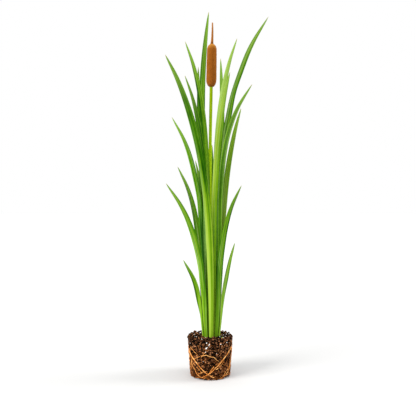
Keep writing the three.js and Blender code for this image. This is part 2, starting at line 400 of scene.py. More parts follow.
def makeLeaf(node, material, look, seed):
    # each ring is a thin lens square to the centre line: its outer face runs over u = -1 to 1 and its inner
    # face back, and it is folded into a shallow channel, with a keel and lengthwise ribs
    rng = np.random.default_rng(seed)
    middle, side, across, through = leafRings(node)
    t = 1 - (1 - np.linspace(0, 1, look["rows"])) ** 1.25
    centre = smoothThrough(middle, t)
    sideways = unit(smoothThrough(side, t))
    length = np.linalg.norm(middle[-1] - middle[0])
    tangent = unit(np.gradient(centre, axis=0))
    out = unit(np.cross(sideways, tangent))
    sideways = np.cross(tangent, out)

    wave = 2 * math.pi * length / look["swayLength"] * t
    free = smoothStep(0.15, 0.5, t) * (1 - 0.3 * t)
    swayed = look["sway"] * free * np.sin(wave * rng.uniform(0.8, 1.2) + rng.uniform(0, 6.3))
    turned = np.radians(look["twist"]) * free * np.sin(wave * rng.uniform(0.5, 0.8) + rng.uniform(0, 6.3))
    centre = centre + out * swayed[:, None]
    sideways, out = (sideways * np.cos(turned)[:, None] + out * np.sin(turned)[:, None],
                     out * np.cos(turned)[:, None] - sideways * np.sin(turned)[:, None])

    shortFrom, tallFrom = look["taperFrom"]
    taperFrom = shortFrom + (tallFrom - shortFrom) * smoothStep(0.25, 0.50, length)
    narrowing = np.clip((t - taperFrom) / (1 - taperFrom), 0, 0.998)
    widest = smoothThrough(across, np.minimum(t, tallFrom - 0.02))
    widen = look["widen"][0] + (look["widen"][1] - look["widen"][0]) * smoothStep(0.0, 0.3, t)
    halfWidth = widest * widen * (1 - narrowing**2) ** look["taperPower"]
    halfThick = smoothThrough(through, np.minimum(t, 0.93)) * 0.72 * (1 - 0.7 * narrowing**3)

    around = anglesRound(look["columns"])
    u, face = -np.cos(around), np.sin(around)
    depth = look["cupFoot"] + (look["cupTip"] - look["cupFoot"]) * smoothStep(0, 0.6, t)
    # each leaf's brightness is partly its own green and partly painted light and shade
    low, high, yellow = look["tones"].get(node, look["usual"])
    tone = low + (high - low) * smoothStep(0.40, 0.66, t)
    # from here on everything along the leaf is a column and everything round its ring a row
    t, halfWidth, halfThick, narrowing, depth, tone = (
        values[:, None] for values in (t, halfWidth, halfThick, narrowing, depth, tone))
    fold = -(np.sqrt(u**2 + 0.03) - 0.17) * (depth * halfWidth)
    rib = look["ribDepth"] * np.cos(2 * math.pi * look["ribs"] * u) * np.abs(face)
    keel = look["keel"] * np.exp(-((u / 0.14) ** 2)) * (face > 0) * (1 - t)
    thick = halfThick * face + np.sign(face) * rib * (1 - narrowing) + keel
    ripple = 0.05 * cloud(np.stack([u + 0 * t, 14 * t + 0 * u, 0 * t + 0 * u + seed], -1), 1.0, seed)
    points = (centre[:, None] + sideways[:, None] * (u * halfWidth)[..., None]
              + out[:, None] * (thick + fold + ripple * halfWidth)[..., None])
    attributes = {"across": u / 2 + 0.5, "along": t, "inside": face < 0, "tone": tone, "yellow": yellow,
                  "number": seed}
    makeSkin(node + "_blade", points, material, node, attributes)


def leafMaterial(name, look):
    # green by tone, which is partly painted light, streaked along its veins, with painted sheen in pale
    # streaks and painted shade towards both edges, paler low down, along the keel and at the tip
    r = Recipe(name)
    across, along, tone = r.attribute("across"), r.attribute("along"), r.attribute("tone")
    number, yellow, inside = r.attribute("number"), r.attribute("yellow"), r.attribute("inside")
    bladePlace = r.node("CombineXYZ", inputs={"X": across, "Y": along * 1.6, "Z": number * 7.3})
    streaks = r.noise(0.14, detail=2, at=r.stretched(bladePlace, (1, 0.28, 1)))
    broad = r.noise(0.36, detail=1, at=r.stretched(bladePlace, (1, 0.22, 1)))
    blotches = r.noise(0.020, detail=4)
    fromKeel = r.absolute(across - 0.5)
    brightness = tone + (broad - 0.5) * 1.8 + (streaks - 0.5) * 1.1 + (blotches - 0.5) * 0.25
    # the inner face is its own darker green; the darkening towards both edges is painted shade where the
    # blade curves away
    brightness = brightness - inside * 0.08 - r.between(fromKeel, 0.33, 0.5) * 0.08
    lively = r.between(brightness, 0.10, 0.60)
    green = r.ramp(brightness, look["greens"])
    yellowish = r.ramp(brightness, look["yellows"])
    shade = r.mix(yellow * lively, green, yellowish)
    # pale streaks along the blade are painted sheen, standing in for the sky's reflection on the curved blade
    paintedSheen = r.noise(0.20, detail=1, at=r.stretched(bladePlace, (1, 0.16, 2.3)))
    shade = r.mix(r.between(paintedSheen, 0.54, 0.68) * (lively * 0.45 + 0.08), shade, look["paintedSheenColour"])
    keelLine = r.between(fromKeel, 0.16, 0.02)
    shade = r.mix(keelLine * (1 - inside) * (lively * 0.35), shade, look["keelColour"])
    low = r.between(r.height(), 0.24, 0.07)
    shade = r.mix(low * 0.32, shade, look["footColour"])
    shade = r.mix(r.between(along, 0.80, 1.0) * 0.55, shade, look["tipColour"])
    shade = r.mix(r.between(along, 0.985, 1.0) * 0.8, shade, look["dryColour"])
    veins = r.node("Math", {"operation": "SINE"}, {0: across * (2 * math.pi * look["veins"])})
    shade = r.mix((veins * 0.5 + 0.5) * (lively * 0.10), shade, look["veinColour"])
    grain = r.noise(0.0011, detail=2)
    relief = veins * 0.35 + streaks * 0.7 + grain * 0.5
    return r.finish(baseColor=shade, roughness=0.40 + (streaks * 0.22), specular=0.02,
                    normal=r.bump(relief, 0.12 * mm, 0.7))


greenLook = {
    "greens": [(0.0, colour(18, 64, 0)), (0.3, colour(48, 104, 2)), (0.6, colour(86, 138, 22)),
               (0.85, colour(122, 164, 52)), (1.0, colour(150, 182, 94))],
    "yellows": [(0.0, colour(46, 88, 0)), (0.3, colour(80, 126, 0)), (0.6, colour(114, 154, 8)),
                (1.0, colour(144, 170, 42))],
    "paintedSheenColour": colour(156, 184, 116), "keelColour": colour(124, 160, 18),
    "footColour": colour(122, 162, 18), "tipColour": colour(126, 162, 62),
    "dryColour": colour(170, 154, 90), "veinColour": colour(150, 178, 66), "veins": 17,
}


def makeLeaves():
    outer = leafMaterial("leaf_green", greenLook)
    young = leafMaterial("young_leaf_green", greenLook)
    leaves = nodesWith("_leaf_")
    for seed, node in enumerate(leaves, 1):
        isYoung = node.startswith("inner")
        makeLeaf(node, young if isYoung else outer, leafLook, seed)
    print(len(leaves), "leaves")


stalkLook = {
    "rows": 200, "columns": 48, "grooves": 11, "grooveDepth": 0.06 * mm,
    "sides": 12, "seed": 8,  # sides is how many corners a ring of the CAD stalk has
    "stops": [(0.2, colour(100, 136, 0)), (0.5, colour(126, 156, 4)), (0.8, colour(156, 178, 24))],
    "dullColour": colour(122, 142, 10), "paintedLightColour": colour(190, 226, 26),
}

headLook = {
    "rows": 330, "columns": 290, "floret": 0.95 * mm, "floretHeight": 0.22 * mm, "dents": 0.30 * mm,
    "bottomDome": 0.19, "topDome": 0.145,  # how far the rounded ends reach, as shares of its length
    "hairs": 7000, "hairLength": (0.35 * mm, 0.8 * mm), "hairThick": 0.06 * mm, "hairRows": 3, "seed": 3,
    "stops": [(0.15, colour(58, 29, 3)), (0.42, colour(110, 60, 12)), (0.62, colour(144, 84, 25)),
              (0.9, colour(194, 124, 52))],
    "paintedTopLightColour": colour(196, 138, 58), "footColour": colour(82, 48, 8), "sheenColour": colour(236, 170, 96),
}

spikeLook = {
    "rows": 150, "columns": 36, "foot": 2.9 * mm, "waist": 2.5 * mm, "tip": 1.3 * mm,
    "bend": 0.5 * mm, "roughness": 0.16 * mm, "seed": 5,
    "stops": [(0.25, colour(94, 52, 8)), (0.5, colour(136, 80, 22)), (0.8, colour(174, 116, 50))],
    "footColour": colour(76, 38, 4), "dryColour": colour(186, 136, 84),
}


def makeStalk(look):
    # a round tube with shallow lengthwise grooves, a little thinner upwards
    rings = ringsOf("stalk", look["sides"])
    middle = rings.mean(1)
    radius = np.linalg.norm(rings - middle[:, None], axis=-1).mean(1)
    t = np.linspace(0, 1, look["rows"])
    a = anglesRound(look["columns"])
    centre = smoothThrough(middle, t)
    r = smoothThrough(radius, t)[:, None] - look["grooveDepth"] * (1 + np.cos(look["grooves"] * a))[None]
    r = r * (1 + 0.02 * cloud(np.stack([6 * t, 0 * t, 0 * t], -1), 1.0, look["seed"]))[:, None]
    ring = np.stack([np.cos(a), np.sin(a), 0 * a], -1)
    points = centre[:, None] + ring[None] * r[..., None]

    m = Recipe("stalk_green")
    height = m.height()
    streaks = m.noise(0.0016, detail=2, at=m.stretched(m.place(), (1, 1, 0.02)))
    blotches = m.noise(0.03)
    shade = m.ramp(streaks * 0.7 + blotches * 0.5 - 0.1, look["stops"])
    shade = m.mix(m.between(height, 0.50, 0.58) * 0.5, shade, look["dullColour"])
    # the lower stalk is painted brighter, as painted light that lifts the shade of the leaves round it
    shade = m.mix(m.between(height, 0.56, 0.40), shade, look["paintedLightColour"])
    material = m.finish(baseColor=shade, roughness=0.42, specular=0.02, normal=m.bump(streaks, 0.1 * mm, 0.5))
    makeSkin("stalk_skin", points, material, "stalk")
    print("stalk")


def headFrame():
    # the head's own axis, from the middle of its foot to the middle of its top
    corners = cornersOf("seed_head")
    along = unit(np.linalg.svd(corners - corners.mean(0), full_matrices=False)[2][0])
    along = along * np.sign(along[2])
    offset = (corners - corners.mean(0)) @ along
    foot = corners[offset < offset.min() + 0.05 * mm].mean(0)
    top = corners[offset > offset.max() - 0.05 * mm].mean(0)
    radius = np.linalg.norm(np.cross(corners - foot, unit(top - foot)), axis=1).max()
    return foot, top, radius


def headPoint(foot, top, radius, s, a, lift):
    # a blunt sausage: two half ellipses joined by a slightly waisted barrel, s from foot to top
    length = np.linalg.norm(top - foot)
    z = s * length
    low = np.clip(1 - z / (headLook["bottomDome"] * length), 0, 1)
    high = np.clip(1 - (length - z) / (headLook["topDome"] * length), 0, 1)
    body = 1.03 - 0.085 * s**2
    r = radius * body * (1 - low**2.4) ** 0.5 * (1 - high**2.3) ** 0.5 + lift
    up = unit(top - foot)
    spoke = spokesRound(up, a)
    return foot + z[..., None] * up + r[..., None] * spoke, spoke


def makeSeedHead(look):
    foot, top, radius = headFrame()
    # rows crowd towards both ends, where the domes close
    q = np.linspace(0, math.pi, look["rows"])
    s = 0.5 - 0.5 * np.cos(q)
    s = 0.35 * s + 0.65 * np.linspace(0, 1, look["rows"])
    s, a = np.meshgrid(s, anglesRound(look["columns"]), indexing="ij")
    # florets: close-set lumps, over a fine roughness and gentle dents
    flat, _ = headPoint(foot, top, radius, s, a, 0)
    bumps = 1 - 1.6 * lumps(flat, look["floret"], look["seed"] + 9)
    rough = cloud(flat, 0.6 * mm, look["seed"]) * 0.5 + cloud(flat, 1.4 * mm, look["seed"] + 1) * 0.4
    dents = cloud(flat, 9 * mm, look["seed"] + 2) + 0.5 * cloud(flat, 4 * mm, look["seed"] + 3)
    awayFromEnds = smoothStep(0, 0.02, s) * smoothStep(1, 0.985, s)
    lift = look["floretHeight"] * (0.7 * bumps + rough) + look["dents"] * dents * 0.6 - 0.2 * mm
    lift = lift * awayFromEnds
    points, _ = headPoint(foot, top, radius, s, a, lift)

    m = Recipe("head_velvet")
    height = m.height()
    speckle = m.noise(0.0009, detail=3)
    patches = m.noise(0.007, detail=3)
    bands = m.noise(0.0045, detail=2, at=m.stretched(m.place(), (1, 1, 0.06)))
    # the attribute from the florets' height makes the gaps between florets darker, as painted shade
    brightness = speckle * 0.5 + patches * 0.18 + bands * 0.34 + m.attribute("proud") * 0.28 - 0.14
    shade = m.ramp(brightness, look["stops"])
    topZ, footZ = float(top[2]), float(foot[2])
    # the top dome is painted lighter, as painted light falling from above
    shade = m.mix(m.between(height, topZ - 0.013, topZ + 0.001) * 0.75, shade, look["paintedTopLightColour"])
    # the foot is painted darker, as painted shade where the head meets the stalk
    shade = m.mix(m.between(height, footZ + 0.008, footZ - 0.001) * 0.45, shade, look["footColour"])
    material = m.finish(baseColor=shade, roughness=0.95, specular=0.05, normal=m.bump(speckle, 0.4 * mm, 0.8),
                        sheen=0.28, sheenRoughness=0.45, sheenTint=look["sheenColour"])
    makeSkin("seed_head_velvet", points, material, "seed_head",
             {"proud": np.clip(0.5 + 0.5 * bumps, 0, 1)})

    # short fuzz that stands out between the florets
    rng = np.random.default_rng(look["seed"])
    count = look["hairs"]
    s, a = rng.uniform(0.01, 0.99, count), rng.uniform(0, 2 * math.pi, count)
    root, spoke = headPoint(foot, top, radius, s, a, -0.25 * mm)
    lean = unit(spoke + 0.45 * rng.normal(size=(count, 3)) + np.array([0, 0, 1])
                * (smoothStep(0.9, 1, s) - smoothStep(0.12, 0, s))[:, None])
    reach = np.linspace(0, 1, look["hairRows"])
    span = rng.uniform(*look["hairLength"], count)[:, None, None]
    paths = root[:, None] + lean[:, None] * span * reach[None, :, None]
    radii = np.broadcast_to(look["hairThick"] * np.array([1, 0.7, 0.15]), (count, look["hairRows"]))
    nearlyUp = np.array([0.3, 0.2, 0.93])
    tones = rng.uniform(0.4, 1.3, count)
    makeFibres("seed_head_fuzz", paths, radii, 3, nearlyUp, tones, material)
    print("seed head")
    return foot, top


def makeSpike(headFoot, headTop, look):
    # a dry stem with a flared foot, a rough surface and a rounded tip
    up = unit(headTop - headFoot)
    highest = cornersOf("flower_spike")
    length = ((highest - headTop) @ up).max()
    t = np.linspace(-0.05, 1, look["rows"])
    share = np.clip(t, 0, 1)
    r = look["waist"] + (look["foot"] - look["waist"]) * np.exp(-share / 0.10)
    r = r + (look["tip"] - look["waist"]) * share**1.1
    r = r * np.sqrt(1 - np.clip((t - 0.965) / 0.0351, 0, 1) ** 2)
    centre = headTop + up * (t * length)[:, None]
    centre = centre + np.array([1, 0, 0]) * (look["bend"] * np.sin(3.0 * share))[:, None]
    spoke = spokesRound(up, anglesRound(look["columns"]))
    points = centre[:, None] + spoke[None] * r[:, None, None]
    rough = cloud(points, 0.9 * mm, look["seed"]) + cloud(points, 2.6 * mm, look["seed"] + 1)
    points = points + spoke[None] * (look["roughness"] * rough * (r / look["waist"])[:, None])[..., None]

    m = Recipe("spike_brown")
    fine = m.noise(0.0008, detail=3)
    streaks = m.noise(0.0012, detail=2, at=m.stretched(m.place(), (1, 1, 0.12)))
    shade = m.ramp(fine * 0.5 + streaks * 0.6, look["stops"])
    base = float(headTop[2])
    shade = m.mix(m.between(m.height(), base + 0.006, base) * 0.6, shade, look["footColour"])
    shade = m.mix(m.between(m.height(), base + 0.020, base + 0.042) * 0.35, shade, look["dryColour"])
    material = m.finish(baseColor=shade, roughness=0.85, specular=0.08, normal=m.bump(fine, 0.3 * mm, 0.8))
    makeSkin("flower_spike_skin", points, material, "flower_spike")
    print("spike")


ballLook = {
    "columns": 384, "edge": 4.0 * mm,
    # rows over the underside, bottom edge, side, top edge and top
    "rows": (16, 12, 118, 14, 66),
    "lump": 3.4 * mm, "lumpHeight": 1.0 * mm, "swell": 9 * mm, "swellHeight": 0.8 * mm,
    "grain": 0.9 * mm, "grainHeight": 0.28 * mm, "topRise": 1.6 * mm, "inward": 1.7 * mm, "seed": 11,
}


def ballShape():
    # bottom radius, top radius and height of the tapered ball, from the CAD solid
    low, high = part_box("root_ball")
    corners = cornersOf("root_ball")
    height = high[2] - low[2]
    radial = np.hypot(corners[:, 0], corners[:, 1])
    lower = radial[corners[:, 2] < 0.1 * height].max()
    upper = radial[corners[:, 2] > 0.9 * height].max()
    taper = (upper - lower) / (0.92 * height)
    return lower - 3 * mm * taper, upper + 3 * mm * taper, height


bottomRadius, topRadius, ballHeight = ballShape()


def onBall(angle, z, lift):
    # a point that stands that far out from the ball's side
    return fromFront(bottomRadius + (topRadius - bottomRadius) * z / ballHeight + lift, angle, z)


def makeBall(material, look):
    # the outline (r, z) runs from under the middle, round both edges, to the top's middle, and every point
    # is pushed out square to it by lumps, swells and grain
    e, (under, low, side, high, over) = look["edge"], look["rows"]
    bend = np.linspace(0, math.pi / 2, low, endpoint=False)
    bendTop = np.linspace(0, math.pi / 2, high, endpoint=False)
    r = np.concatenate([np.linspace(0.02, 1, under, endpoint=False) * (bottomRadius - e),
                        bottomRadius - e + e * np.sin(bend),
                        np.linspace(bottomRadius, topRadius, side, endpoint=False),
                        topRadius - e + e * np.cos(bendTop),
                        (topRadius - e) * np.linspace(1, 0.02, over)])
    z = np.concatenate([np.zeros(under), e - e * np.cos(bend),
                        np.linspace(e, ballHeight - e, side, endpoint=False),
                        ballHeight - e + e * np.sin(bendTop), np.full(over, ballHeight)])
    slope = unit(np.stack([np.gradient(r), np.gradient(z)], -1))
    pushR, pushZ = slope[:, 1], -slope[:, 0]
    a = anglesRound(look["columns"])
    spoke = fromFront(1, a, 0 * a)
    flat = spoke[None] * r[:, None, None] + np.array([0, 0, 1]) * z[:, None, None]
    push = spoke[None] * pushR[:, None, None] + np.array([0, 0, 1]) * pushZ[:, None, None]
    seed = look["seed"]
    clod = 0.5 - lumps(flat, look["lump"], seed)
    height = (look["lumpHeight"] * clod + look["swellHeight"] * cloud(flat, look["swell"], seed + 1)
              + look["grainHeight"] * cloud(flat, look["grain"], seed + 2)
              + 0.5 * look["lumpHeight"] * (0.5 - lumps(flat, look["lump"] * 0.5, seed + 3)))
    top = smoothStep(ballHeight - 2 * e, ballHeight, z)[:, None]
    height = height * (1 + 0.8 * top) + look["topRise"] * top * cloud(flat, 14 * mm, seed + 4) * 0.6
    points = flat + push * (height - look["inward"])[..., None]
    points[..., 2] = np.maximum(points[..., 2], 0)
    # how far each point stands out; the soil material paints the low points darker, as painted shade in the
    # pits
    proud = np.clip(0.25 + height / (3 * mm), 0, 1)
    makeSkin("soil_surface", points, material, "root_ball", {"proud": proud})
    print("soil surface")


def soilMaterial(name, stops, size):
    # speckled, with painted shade where it is deep, and an orange tinge in patches low down
    m = Recipe(name)
    speckle = m.noise(size, detail=4, roughness=0.7)
    patches = m.noise(0.011, detail=3)
    # the attribute darkens the pits as painted shade, and on crumbs and fibres gives each its own tone
    brightness = speckle * 0.7 + patches * 0.2 + m.attribute("proud") * 0.72 - 0.41
    shade = m.ramp(brightness, stops)
    orange = m.between(m.height(), 0.045, 0.0) * m.between(patches, 0.40, 0.62)
    shade = m.mix(orange * 0.10, shade, colour(120, 62, 18))
    fine = m.noise(0.0005, detail=3)
    return m.finish(baseColor=shade, roughness=0.92, specular=0.06,
                    normal=m.bump(speckle + fine * 0.5, 0.8 * mm, 0.9))


crumbStops = [(0.1, colour(8, 3, 0)), (0.38, colour(36, 18, 7)), (0.62, colour(88, 52, 30)),
              (1.0, colour(184, 126, 84))]
soilStops = [(0.1, colour(5, 2, 0)), (0.4, colour(24, 12, 4)), (0.7, colour(56, 32, 16)),
             (1.0, colour(96, 62, 38))]


crumbLook = {
    "side": {
        "count": 2800, "size": (0.9 * mm, 3.1 * mm), "tones": (-0.50, 1.45), "sink": 0.5, "seed": 21,
        "beside": 3.0 * mm,  # how near a root the soil is washed out, and darkened as painted shadow
        "covering": 0.16,  # the share of the crumbs near a root that stick on top of it
        "standOut": 1.0 * mm, "washOut": 1.2 * mm,  # how far out those stand, and how far in the others go
    },
    "top": {
        "count": 1900, "size": (0.9 * mm, 2.8 * mm), "tones": (-0.45, 1.15), "uneven": 1.1 * mm, "seed": 22,
        "heap": 1.8 * mm, "heapWidth": 5 * mm,  # the low heap that the leaves have pushed up round them
    },
    "rim": {"count": 260, "size": (1.3 * mm, 3.0 * mm), "tones": (-0.45, 1.1), "uneven": 2.4 * mm,
            "seed": 23},
    "shape": (1.0, 0.74, 0.6), "uneven": 0.2,
}

grainLook = {
    "scattered": 44, "size": (0.5 * mm, 1.3 * mm), "enlarge": 1.06, "seed": 31,
    # x, y and size of the grains that stand out on the top, in millimetres
    "onTop": [(-27.7, -11.5, 1.1), (-9.7, -16.5, 1.3), (-17, -29, 1.1), (18.6, -13, 1.7), (26, -20, 1.4),
              (32.3, 32, 1.5), (22.7, 29, 1.2), (-20, 22, 1.5), (38, 13, 1.2), (-33, 8, 1.2)],
    # angle from the front, height and size of those on the side
    "onSide": [(-9, 77, 1.5), (-2, 73.6, 1.5), (-3.5, 71.5, 1.3), (-10, 65.7, 1.6), (-8, 67.5, 1.1),
               (-12, 58, 1.3), (27, 73, 1.3), (46, 74, 1.1), (16, 55, 0.9), (-19, 38.8, 0.8), (-62, 70, 0.9)],
}

mossLook = {"at": (24.3, -17.0), "bits": 16, "size": (0.5 * mm, 1.0 * mm), "seed": 41}


def pebble():
    # an eight-sided ball with each of its faces cut in four: 18 points and 32 faces
    points = np.concatenate([np.eye(3), -np.eye(3)])
    faces = np.array([(0, 1, 2), (1, 3, 2), (3, 4, 2), (4, 0, 2), (1, 0, 5), (3, 1, 5), (4, 3, 5), (0, 4, 5)])
    sides = np.sort(np.concatenate([faces[:, [0, 1]], faces[:, [1, 2]], faces[:, [2, 0]]]), axis=1)
    edges, which = np.unique(sides, axis=0, return_inverse=True)
    middles = len(points) + which.reshape(3, -1).T
    points = np.concatenate([points, unit(points[edges].mean(1))])
    a, b, c = faces.T
    ab, bc, ca = middles.T
    quarters = ((a, ab, ca), (b, bc, ab), (c, ca, bc), (ab, bc, ca))
    return points, np.concatenate([np.stack(quarter, -1) for quarter in quarters])


def turns(rng, count):
    # random rotations, from random unit quaternions
    w, x, y, z = unit(rng.normal(size=(count, 4))).T
    return np.stack([1 - 2 * (y * y + z * z), 2 * (x * y - w * z), 2 * (x * z + w * y),
                     2 * (x * y + w * z), 1 - 2 * (x * x + z * z), 2 * (y * z - w * x),
                     2 * (x * z - w * y), 2 * (y * z + w * x), 1 - 2 * (x * x + y * y)], -1).reshape(-1, 3, 3)


def makeCrumbs(name, places, sizes, shape, uneven, tones, material, rng):
    # every crumb is the pebble squashed, made uneven and turned at random, with a tone of its own
    ball, faces = pebble()
    count = len(places)
    squash = np.array(shape) * rng.uniform(0.75, 1.25, (count, 3))
    bumpy = 1 + uneven * rng.normal(size=(count, len(ball), 1)).clip(-1.6, 1.6)
    body = ball[None] * bumpy * squash[:, None] * np.asarray(sizes)[:, None, None]
    body = np.einsum("nij,nvj->nvi", turns(rng, count), body) + places[:, None]
    body[..., 2] = np.maximum(body[..., 2], 0)
    every = (faces[None] + (np.arange(count) * len(ball))[:, None, None]).reshape(-1, 3)
    makePiece(name, body, [every], material, {"proud": np.repeat(tones, len(ball))})


def crownRing():
    # the crown's middle, and how far from it the outermost leaf feet stand
    feet = np.array([leafRings(node)[0][0] for node in nodesWith("outer_leaf")])
    return feet.mean(0), np.linalg.norm(feet - feet.mean(0), axis=1).max()


def crumbSizes(group, rng):
    # mostly small, a few large
    return rng.uniform(0, 1, group["count"]) ** 1.6 * np.ptp(group["size"]) + group["size"][0]


def beside(places, paths, reach):
    # 1 on a root, easing to 0 at that reach from it
    nearest = np.full(len(places), 1.0)
    for path in paths:
        nearest = np.minimum(nearest, np.linalg.norm(places[:, None] - path[None], axis=-1).min(1))
    return smoothStep(reach, 0.3 * reach, nearest)


def placeSideCrumbs(group, sizes, rng, roots):
    count = group["count"]
    height = rng.uniform(0.01, 1, count) * ballHeight
    places = onBall(rng.uniform(0, 2 * math.pi, count), height, -sizes * group["sink"])
    roundedEdge = np.clip(1 - height / ballLook["edge"], 0, 1)
    places = places * (1 - 0.07 * roundedEdge[:, None] ** 2 * (1, 1, 0))
    near = beside(places, roots, group["beside"])
    covering = rng.uniform(0, 1, count) < group["covering"]
    moved = near * np.where(covering, group["standOut"], -group["washOut"])
    places = places + outwards(places) * moved[:, None]
    tones = rng.uniform(*group["tones"], count) + 0.2 * cloud(places, 4.5 * mm, group["seed"] + 4)
    # crumbs beside a root are darkened as painted shadow, and all are darker towards the bottom
    return places, tones - 0.6 * near - 0.4 * smoothStep(12 * mm, 0, height)


def placeTopCrumbs(group, sizes, rng, roots):
    count = group["count"]
    angle = rng.uniform(0, 2 * math.pi, count)
    spread = np.sqrt(rng.uniform(0.0, 1, count)) * (topRadius - 0.6 * mm)
    places = fromFront(spread, angle, np.full(count, ballHeight))
    crown, ring = crownRing()
    fromHeap = np.linalg.norm(places[:, :2] - crown[:2], axis=1) - ring - 3 * mm
    heaped = group["heap"] * np.exp(-((fromHeap / group["heapWidth"]) ** 2))
    places[:, 2] += heaped * rng.uniform(0, 1, count) + group["uneven"] * rng.uniform(-0.8, 1, count)
    return places, rng.uniform(*group["tones"], count)


def placeRimCrumbs(group, sizes, rng, roots):
    count = group["count"]
    angle = rng.uniform(0, 2 * math.pi, count)
    spread = topRadius - rng.uniform(-0.7, 5.0, count) * mm
    places = fromFront(spread, angle, ballHeight + group["uneven"] * rng.uniform(-1, 1, count))
    return places, rng.uniform(*group["tones"], count)


def makeAllCrumbs(material, roots):
    for name, place in (("side", placeSideCrumbs), ("top", placeTopCrumbs), ("rim", placeRimCrumbs)):
        group = crumbLook[name]
        rng = np.random.default_rng(group["seed"])
        sizes = crumbSizes(group, rng)
        places, tones = place(group, sizes, rng, roots)
        makeCrumbs(name + "_crumbs", places, sizes, crumbLook["shape"], crumbLook["uneven"], tones, material,
                   rng)
    print("crumbs")


def makeGrains(look):
    rng = np.random.default_rng(look["seed"])
    count = look["scattered"]
    angle = rng.uniform(1.3, 5.0, count)
    spread = np.sqrt(rng.uniform(0.2, 1, count)) * (topRadius - 2 * mm)
    loose = fromFront(spread, angle, np.full(count, ballHeight + 0.9 * mm))
    onTop = np.array(look["onTop"]) * mm
    onSide = np.array(look["onSide"])
    placed = np.concatenate([onTop[:, :2], np.full((len(onTop), 1), ballHeight + 1.6 * mm)], 1)
    stuck = onBall(np.radians(onSide[:, 0]), np.minimum(onSide[:, 1] * mm, ballHeight - 1.5 * mm), 0.9 * mm)
    places = np.concatenate([loose, placed, stuck])
    sizes = np.concatenate([rng.uniform(*look["size"], count), onTop[:, 2], onSide[:, 2] * mm])
    sizes = sizes * look["enlarge"]
    m = Recipe("white_grain")
    pores = m.noise(0.0006, detail=2)
    shade = m.ramp(pores, [(0.3, colour(222, 218, 210)), (0.6, colour(252, 251, 248))])
    material = m.finish(baseColor=shade, roughness=0.8, normal=m.bump(pores, 0.3 * mm, 0.8), specular=0.3)
    makeCrumbs("white_grains", places, sizes, (1.0, 0.8, 0.7), 0.12, np.zeros(len(sizes)), material, rng)
    print("white grains")


def makeMoss(look):
    rng = np.random.default_rng(look["seed"])
    middle = np.array([*look["at"], 0]) * mm
    places = middle + rng.normal(size=(look["bits"], 3)) * (1.3 * mm, 1.0 * mm, 0.4 * mm)
    places[:, 2] = ballHeight + rng.uniform(1.0, 2.6, look["bits"]) * mm
    m = Recipe("moss_green")
    shade = m.ramp(m.noise(0.0008), [(0.3, colour(70, 110, 20)), (0.7, colour(140, 180, 60))])
    material = m.finish(baseColor=shade, roughness=0.8, specular=0.3)
    makeCrumbs("moss_bits", places, rng.uniform(*look["size"], look["bits"]), (1.4, 0.5, 0.5), 0.2,
               np.zeros(look["bits"]), material, rng)
    print("moss")


rootLook = {
    "mainRows": 110, "mainColumns": 12, "mainRise": 0.7 * mm, "mainSeed": 60,
    "sideRows": 64, "sideColumns": 8, "sideSeed": 90, "hairRows": 6,
    "sides": 6,  # how many corners a ring of a CAD root has
    "dive": 2.3 * mm,  # how far both ends of a thick root go into the soil
    "fine": {"count": 230, "rows": 34, "columns": 5, "thick": (0.15 * mm, 0.40 * mm),
             "span": (14 * mm, 62 * mm), "seed": 51},
    "coil": {"count": 13, "rows": 70, "columns": 6, "thick": (0.30 * mm, 0.80 * mm), "seed": 52},
    "hairs": {"count": 800, "length": (1.2 * mm, 3.0 * mm), "thick": (0.16 * mm, 0.18 * mm), "lower": 0.9,
              "standing": 0.8, "tones": (0, 1), "seed": 53},
    "bits": {"count": 420, "length": (2.5 * mm, 8 * mm), "thick": (0.15 * mm, 0.36 * mm), "lower": 0.9,
             "standing": 0.1, "tones": (0, 1), "seed": 54},
    "ends": {"count": 250, "length": (2.0 * mm, 7 * mm), "thick": (0.22 * mm, 0.60 * mm), "lower": 2.4,
             "standing": 0.12, "tones": (-0.1, 0.85), "seed": 55},
}

# the side roots that show: thickness in millimetres, then angle from the front and height along each
sideRoots = [
    (1.3, [(-74, 52), (-68, 48), (-50, 40), (-36, 45), (-25, 50)]),
    (1.1, [(-62, 64), (-57, 60), (-43, 54), (-34, 49)]),
    (0.9, [(-26, 45), (-22, 49), (-17, 54), (-12, 59), (-10, 64)]),
    (1.1, [(-28, 49), (-20, 50), (-11, 51.5), (-3, 50), (6, 48), (10, 47), (15, 43), (22, 39), (27, 36)]),
    (1.4, [(-66, 36), (-58, 26), (-50, 20), (-41, 12), (-31, 7), (-22, 5)]),
    (1.1, [(-44, 8), (-32, 12), (-21, 16), (-11, 18), (-4, 16)]),
    (1.2, [(-72, 44), (-66, 40), (-56, 32), (-43, 26), (-31, 20), (-22, 12)]),
    (1.9, [(84, 60), (80, 48), (76, 36), (68, 20), (52, 9), (38, 4)]),
    (1.5, [(72, 34), (64, 22), (47, 13), (36, 4), (20, 2)]),
    (1.7, [(-88, 62), (-84, 52), (-78, 40), (-80, 23), (-77, 7)]),
    (1.2, [(14, 22), (22, 25), (28, 28), (34, 32), (41, 38)]),
    (1.2, [(12, 30), (5, 24), (-2, 16), (-12, 7), (-20, 3)]),
    (1.0, [(-60, 14), (-70, 26), (-82, 36)]),
    (1.6, [(120, 66), (128, 48), (140, 30), (158, 14), (176, 4)]),
    (1.5, [(210, 64), (200, 46), (190, 30), (170, 16), (152, 6)]),
    (1.3, [(98, 56), (104, 40), (116, 26), (134, 12), (150, 8)]),
    (1.4, [(262, 58), (252, 40), (238, 26), (222, 12), (208, 4)]),
    (1.2, [(160, 60), (168, 44), (184, 34), (204, 24), (228, 16)]),
    (1.2, [(236, 66), (230, 50), (216, 38), (196, 30), (180, 20)]),
]


rootStops = [(0.0, colour(54, 24, 2)), (0.3, colour(128, 66, 14)), (0.6, colour(204, 124, 50)),
             (1.0, colour(244, 186, 114))]


